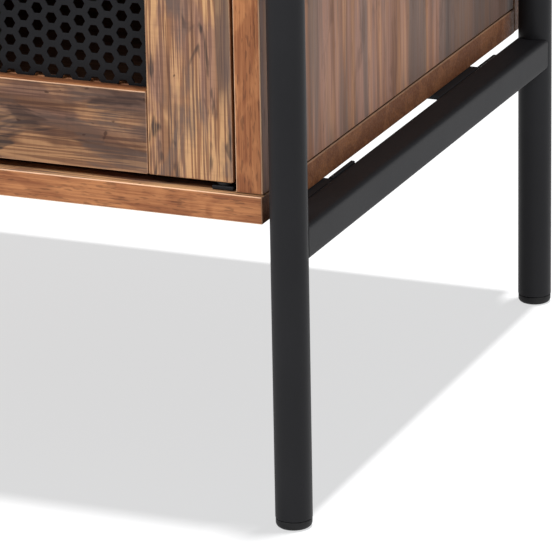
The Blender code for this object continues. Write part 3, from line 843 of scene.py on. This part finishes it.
# %% Legs and glides
def leg_and_glide(end, side):
    leg, glide = "leg_%s_%s" % (end, side), "glide_%s_%s" % (end, side)
    low, high = SPAN[leg]
    x, y = middle(leg)[:2]
    radius = (high[0] - low[0]) / 2
    bore = radius - TUBE_WALL
    top, foot = high[2], low[2]
    crown, rim, hollow = 0.0018, 0.0003, 0.02
    profile = np.concatenate([
        [(0, top)], arc((radius - crown, top - crown), crown, 90, 0),
        arc((radius - rim, foot + rim), rim, 0, -90, 3),
        [(bore, foot), (bore, foot + hollow), (0, foot + hollow)]])
    turned(leg + "_tube", profile, (x, y, 0), (0, 0, 1), TUBE_COAT, "cabinet",
           [leg], 64)
    low, high = SPAN[glide]
    sole_radius = (high[0] - low[0]) / 2
    lip = foot - GAP
    sole, edge = 0.0025, 0.0004
    profile = np.concatenate([
        [(0, high[2]), (bore - GAP, high[2]), (bore - GAP, lip), (sole_radius - edge, lip)],
        arc((sole_radius - edge, lip - edge), edge, 90, 0, 3),
        arc((sole_radius - sole, sole), sole, 0, -90, 6), [(0, 0)]])
    turned(glide + "_plug", profile, (x, y, 0), (0, 0, 1), BLACK_PLASTIC, "cabinet",
           [glide], 48)


for side in SIDES:
    for end in ENDS:
        leg_and_glide(end, side)

# %% [markdown]
# ## Rails
# A rail's ends are coped: cut to the curve of the legs, so the tubes meet all round and can be
# welded. The end of each line along the tube is y = leg +/- sqrt(R^2 - x^2), which is the whole
# cope as one formula. Four rings, outside and inside at both ends, close into one tube wall. The
# weld itself is a thin bead that follows the same curve.

# %% Coped rails and their weld beads
RAIL_CORNER = 0.0025


def cope(x, x_leg, radius):
    """How far from the leg's middle a line at x meets a circle of that radius."""
    return np.sqrt(radius ** 2 - (x - x_leg) ** 2)


def rail_piece(rail, side):
    low, high = SPAN[rail]
    x_leg = middle("leg_front_" + side)[0]
    front, rear = (middle("leg_%s_%s" % (end, side))[1] for end in ENDS)
    leg_radius = (SPAN["leg_front_" + side][1][0] - SPAN["leg_front_" + side][0][0]) / 2
    centre, half = (low + high) / 2, (high - low) / 2
    core, way = rounded_rectangle(half[0], half[2], RAIL_CORNER, 5, 9)
    outside = core + way * RAIL_CORNER + centre[[0, 2]]
    inside = core + way * (RAIL_CORNER - TUBE_WALL) + centre[[0, 2]]
    rings = []
    for flat, ends in ((outside, (front, rear)), (inside, (rear, front))):
        for y_leg in ends:
            reach = cope(flat[:, 0], x_leg, leg_radius + GAP)
            y = y_leg + reach if y_leg == front else y_leg - reach
            rings.append(np.stack([flat[:, 0], y, flat[:, 1]], axis=1))
    points = np.concatenate(rings)
    place_piece(rail + "_tube", points, [quads_between(4, len(outside), True)], TUBE_COAT,
                "cabinet", [rail], 40)
    for end, y_leg, sign in (("front", front, 1), ("rear", rear, -1)):
        weld_bead(rail + "_weld_" + end, outside, x_leg, y_leg, sign, leg_radius)


BEAD = 0.0007            # radius of a weld bead
BEAD_DROP = 0.0014       # from one drop of weld to the next


def weld_bead(name, outline, x_leg, y_leg, sign, leg_radius):
    """A thin ring along the cope, with ripples as each drop of weld overlaps the last."""
    hub = (outline.max(axis=0) + outline.min(axis=0)) / 2
    outline = hub + (outline - hub) * (1 - 1.2 * BEAD / np.abs(outline - hub).max())
    y = y_leg + sign * cope(outline[:, 0], x_leg, leg_radius + BEAD * 0.6)
    path = np.stack([outline[:, 0], y, outline[:, 1]], axis=1)
    steps = np.linalg.norm(np.roll(path, -1, axis=0) - path, axis=1)
    travelled = np.concatenate([[0], np.cumsum(steps)])
    count = 150
    at = np.linspace(0, travelled[-1], count, endpoint=False)
    closed = np.concatenate([path, path[:1]])
    centre = np.stack([np.interp(at, travelled, closed[:, axis]) for axis in range(3)], axis=1)
    tangent = np.roll(centre, -1, axis=0) - np.roll(centre, 1, axis=0)
    tangent /= np.linalg.norm(tangent, axis=1)[:, None]
    along_y = np.tile((0.0, 1.0, 0.0), (count, 1))
    first = along_y - tangent * np.sum(along_y * tangent, axis=1)[:, None]
    first /= np.linalg.norm(first, axis=1)[:, None]
    second = np.cross(tangent, first)
    angle = np.arange(8) * math.pi / 4
    ripple = BEAD * (1 + 0.12 * np.cos(at * 2 * math.pi / BEAD_DROP))
    ring = np.cos(angle)[None, :, None] * first[:, None] + np.sin(angle)[None, :, None] * second[:, None]
    points = (centre[:, None] + ripple[:, None, None] * ring).reshape(-1, 3)
    place_piece(name, points, [quads_between(count, 8, True)], TUBE_COAT, "cabinet",
                (), 60)


for side in SIDES:
    for rail in ("lower_rail_", "upper_rail_"):
        rail_piece(rail + side, side)
print("side frames: 4 legs, 4 rails, 8 weld beads")

# %% [markdown]
# ## Knobs, bolts, spacers and screws
# The knob is a flat mushroom on a narrow neck. Screws are a dome with a cross driven into it:
# the height of the head is a function of radius and angle, so the recess is part of one surface.

# %% Knobs with their screws
def knob(side):
    name = "door_%s_knob" % side
    low, high = SPAN[name]
    x, z = middle(name)[0], middle(name)[2]
    radius = (high[0] - low[0]) / 2
    length = high[1] - low[1]
    foot, neck, edge = 0.0085, 0.0055, 0.0026
    flare_low, flare_rise, swell_low, rim_depth = 0.0016, 0.0052, 0.0095, 0.0058
    screw_bore, bore_depth = 0.0022, 0.012
    turn = np.linspace(0, 1, 13)
    short_turn = turn[:9] / turn[8]
    flare = neck + (foot - neck) * (1 - np.sin(short_turn * math.pi / 2))
    flare_height = flare_low + short_turn * flare_rise
    swell = neck + (radius - 0.0012 - neck) * (1 - np.cos(turn * math.pi / 2)) ** 0.9
    swell_height = swell_low + turn * (length - rim_depth - swell_low)
    profile = np.concatenate([
        [(0, length - 0.0006), (radius * 0.5, length - 0.0004)],
        arc((radius - edge, length - edge), edge, 92, -40, 12),
        np.stack([swell, swell_height], axis=1)[::-1], np.stack([flare, flare_height], axis=1)[::-1],
        [(foot, 0.0006), (foot - 0.0006, 0), (screw_bore, 0), (screw_bore, bore_depth),
         (0, bore_depth)]])
    turned(name + "_turned", profile, (x, high[1], z), (0, -1, 0), KNOB_COAT, "door_" + side,
           [name], 64)


def screw_head(name, centre, axis, radius, height, body, finish=None, stands_for=(), shank=None):
    """A dome whose height falls off as cos(r), less a cross of four tapering slots."""
    rings, around = 10, 48
    share = np.linspace(0.02, 1, rings)[:, None]
    angle = (np.arange(around) * 2 * math.pi / around)[None, :]
    dome = height * (0.35 + 0.65 * np.sqrt(np.clip(1 - share ** 2, 0, 1)))
    arm = np.abs(np.sin(2 * angle)) * share
    slot = np.clip(1 - arm / 0.22, 0, 1) * np.clip((0.62 - share) / 0.1, 0, 1)
    level = dome - slot * height * 0.55
    axis = np.array(axis, float)
    side = np.cross(axis, (0, 1, 0) if abs(axis[1]) < 0.9 else (0, 0, 1))
    other = np.cross(axis, side)
    ring = np.cos(angle)[..., None] * side + np.sin(angle)[..., None] * other
    top = share[..., None] * radius * ring + level[..., None] * axis
    rows = [top.reshape(-1, 3), (radius * ring[0])]
    if shank:
        rows += [shank[0] * ring[0], shank[0] * ring[0] - shank[1] * axis]
    points = np.concatenate(rows + [level[0].min() * axis[None]])
    total = rings + len(rows) - 1
    here, after = np.arange(around), (np.arange(around) + 1) % around
    fan = np.stack([np.full(around, len(points) - 1), here, after], axis=1)
    base = (np.arange(around) + (total - 1) * around)[None, ::-1]
    place_piece(name, points + np.array(centre), [quads_between(total, around), fan, base],
                finish or ZINC, body,
                stands_for, 40)


for side in SIDES:
    knob(side)
    screw = "door_%s_knob_screw" % side
    low, high = SPAN[screw]
    head_face = SPAN["door_%s_hinge_stile" % side][1][1] + GAP
    screw_head(screw + "_driven", (middle(screw)[0], head_face, middle(screw)[2]), (0, 1, 0),
               (high[0] - low[0]) / 2, high[1] - head_face, "door_" + side, None, [screw],
               (0.0019, head_face - low[1]))
print("knobs:", np.round(SPAN["door_right_knob"][1] - SPAN["door_right_knob"][0], 4))

# %% [markdown]
# ## Bolts and spacers between case and frames
# Four button-head bolts go from inside the case through a spacer ring into the upper rails. The
# ring keeps the boards off the tube. Turned again, this time about the X axis.

# %% Bolts and spacers
BOLT_RADIUS = 0.0030
SPACER_BORE = 0.0033


def bolt_and_spacer(end, side, sign):
    bolt, spacer = "frame_bolt_%s_%s" % (end, side), "spacer_%s_%s" % (end, side)
    low, high = SPAN[bolt]
    y, z = middle(bolt)[1:]
    seat = sign * (np.abs([corner[0] for corner in SPAN["side_panel_" + side]]).min() - GAP)
    head_radius = (high[2] - low[2]) / 2
    inner = low[0] if sign > 0 else high[0]
    screw_head(bolt + "_driven", (seat, y, z), (-sign, 0, 0), head_radius, abs(seat - inner),
               "cabinet", None, [bolt], (BOLT_RADIUS, high[0] - low[0] - abs(seat - inner)))
    low, high = SPAN[spacer]
    length, radius, rim = high[0] - low[0], (high[2] - low[2]) / 2, 0.0004
    profile = np.concatenate([
        [(SPACER_BORE, 0)], arc((radius - rim, rim), rim, -90, 0, 3),
        arc((radius - rim, length - rim), rim, 0, 90, 3), [(SPACER_BORE, length)]])
    turned(spacer + "_ring", profile, (low[0], y, z), (1, 0, 0), BLACK_PLASTIC, "cabinet",
           [spacer], 40, True)


for side, sign in SIDES.items():
    for end in ENDS:
        bolt_and_spacer(end, side, sign)
print("bolts and spacers: 4 of each")

# %% [markdown]
# ## Screws that the frame leaves out
# Brackets, pivot plates, catches, strikes and back boards are all held by small screws. The packed
# model leaves them out, since they carry nothing that moves, but a close view would miss them.
# Each is the same driven head, placed from the piece that it holds.

# %% Small screws
TAB_THICK = 0.0025       # sheet that the brackets are bent from
PLATE_THICK = 0.0020     # pivot plates
END_MARGIN = 0.006       # from a strike's or a catch's end to its screw


def screw_row(name, places, axis, radius, height, body, finish=None):
    for number, place in enumerate(places):
        screw_head("%s_screw_%d" % (name, number + 1), place, axis, radius, height, body, finish)


for side, sign in SIDES.items():
    for end in ENDS:
        low, high = SPAN["bracket_%s_%s" % (end, side)]
        tab_low_z = SPAN["bottom_panel"][0][2] - GAP - TAB_THICK
        inner = low[0] if sign > 0 else high[0]
        screw_row("bracket_%s_%s" % (end, side),
                  [(inner + sign * 0.011, low[1] + offset, tab_low_z) for offset in (0.014, 0.050)],
                  (0, 0, -1), 0.0042, 0.0022, "cabinet")
    for level, up in (("lower", 1), ("upper", -1)):
        low, high = SPAN["pivot_%s_%s" % (level, side)]
        pin_x, pin_y, _ = middle("door_%s_%s_bush" % (side, level))
        face = low[2] + PLATE_THICK if up > 0 else high[2] - PLATE_THICK
        screw_row("pivot_%s_%s" % (level, side),
                  [(pin_x, pin_y + offset, face) for offset in (0.0120, 0.0215)],
                  (0, 0, up), 0.0026, 0.0009, "cabinet", TUBE_COAT)
    strike_low, strike_high = SPAN["door_%s_strike" % side]
    strike_z = (strike_low[2] + strike_high[2]) / 2
    screw_row("strike_" + side, [(x, strike_high[1], strike_z)
                                 for x in (strike_low[0] + END_MARGIN,
                                           strike_high[0] - END_MARGIN)],
              (0, 1, 0), 0.0024, 0.0004, "door_" + side)
    catch_low, catch_high = SPAN["catch_" + side]
    screw_row("catch_" + side, [(x, (catch_low[1] + catch_high[1]) / 2, catch_low[2])
                                for x in (catch_low[0] + END_MARGIN,
                                          catch_high[0] - END_MARGIN)],
              (0, 0, -1), 0.0028, 0.0012, "cabinet")
for name in ("left", "middle", "right"):
    low, high = SPAN["back_panel_" + name]
    xs = np.linspace(low[0] + 0.03, high[0] - 0.03, 3)
    screw_row("back_panel_" + name,
              [(x, high[1] - SCREW_ROOM, z)
               for z in (low[2] + 0.0075, high[2] - 0.0075) for x in xs],
              (0, 1, 0), 0.0034, 0.0004, "cabinet")

# %% [markdown]
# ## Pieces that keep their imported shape
# Brackets, pivots, bushes, catches and strikes are plain pressed or moulded shapes already, so
# they only need their finish.

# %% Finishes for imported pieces
KEPT = {"bracket_": TUBE_COAT, "pivot_": TUBE_COAT, "catch_": BLACK_PLASTIC, "_strike": ZINC,
        "_bush": BLACK_PLASTIC}
for node, piece in frame["nodes"].items():
    for part, finish in KEPT.items():
        if part in node and not piece.hide_render:
            piece.data.materials.clear()
            piece.data.materials.append(finish)
print("still shown:", sorted(node for node, piece in frame["nodes"].items() if not piece.hide_render))

# %% [markdown]
# ## Floor and light
# The room is a white sweep. Two soft boxes high in front and to the right shape the stand, steep
# enough to leave the gap under a door and the legs behind it dark. A lamp straight above draws the
# shadow on the floor. One lamp could do both only with a shadow that slants away to the back, so
# each lamp is linked to what it should light, as a studio hides its lamps behind flags. The floor
# is a little lit from within, so that it stays white and its shadow stays an even light grey.

# %% Floor, lamps and world
FLOOR_SIZE = 60.0
FLOOR_GLOW = 0.674
FLOOR_GREY = 0.25
FLOOR_TINT = (0.987, 0.993, 1.0, 1)   # takes out the brown that the boards throw on the floor


def floor_sheet():
    half = FLOOR_SIZE / 2
    mesh = bpy.data.meshes.new("floor")
    corners = [(-half, -half, 0), (half, -half, 0), (half, half, 0), (-half, half, 0)]
    mesh.from_pydata(corners, [], [(0, 1, 2, 3)])
    floor = bpy.data.objects.new("floor", mesh)
    bpy.context.scene.collection.objects.link(floor)
    paper = Finish("white_floor")
    grey = (FLOOR_GREY, FLOOR_GREY, FLOOR_GREY, 1.0)
    mesh.materials.append(paper.surface(
        Base_Color=paper.mix(paper.texture(3), grey, lighter(grey, 1.02)),
        Roughness=0.9, Specular_IOR_Level=0.0,
        Emission_Color=FLOOR_TINT, Emission_Strength=FLOOR_GLOW))
    return floor


def lamp(name, kind, place, aim, power, size, floor, on_floor):
    """A lamp that lights only the floor, or everything but the floor."""
    light = bpy.data.lights.new(name, kind)
    light.energy = power
    if kind == "SUN":
        light.angle = size
    else:
        light.shape = "RECTANGLE"
        light.size, light.size_y = size
    held = bpy.data.objects.new(name, light)
    held.location = place
    held.rotation_mode = "QUATERNION"
    held.rotation_quaternion = (Vector(aim) - Vector(place)).to_track_quat("-Z", "Y")
    bpy.context.scene.collection.objects.link(held)
    lit = bpy.data.collections.new(name + "_lights")
    lit.objects.link(floor)
    lit.collection_objects[0].light_linking.link_state = "INCLUDE" if on_floor else "EXCLUDE"
    held.light_linking.receiver_collection = lit


floor = floor_sheet()
lamp("overhead", "SUN", (0.18, 0.19, 5), (0, 0, 0), 5.6, math.radians(3.0), floor, True)
lamp("front_box", "AREA", (-1.2, -3.0, 4.2), (0.2, 0, 0.3), 205, (2.0, 2.0), floor, False)
lamp("side_box", "AREA", (3.4, -1.4, 3.4), (0.6, 0, 0.3), 110, (1.4, 1.6), floor, False)
world = bpy.data.worlds.new("light_tent")
world.use_nodes = True
world.node_tree.nodes["Background"].inputs["Color"].default_value = (0.97, 0.985, 1.0, 1)
world.node_tree.nodes["Background"].inputs["Strength"].default_value = 0.20
bpy.context.scene.world = world
bpy.context.scene.view_settings.view_transform = "Standard"
print("lamps:", [light.name for light in bpy.data.lights])
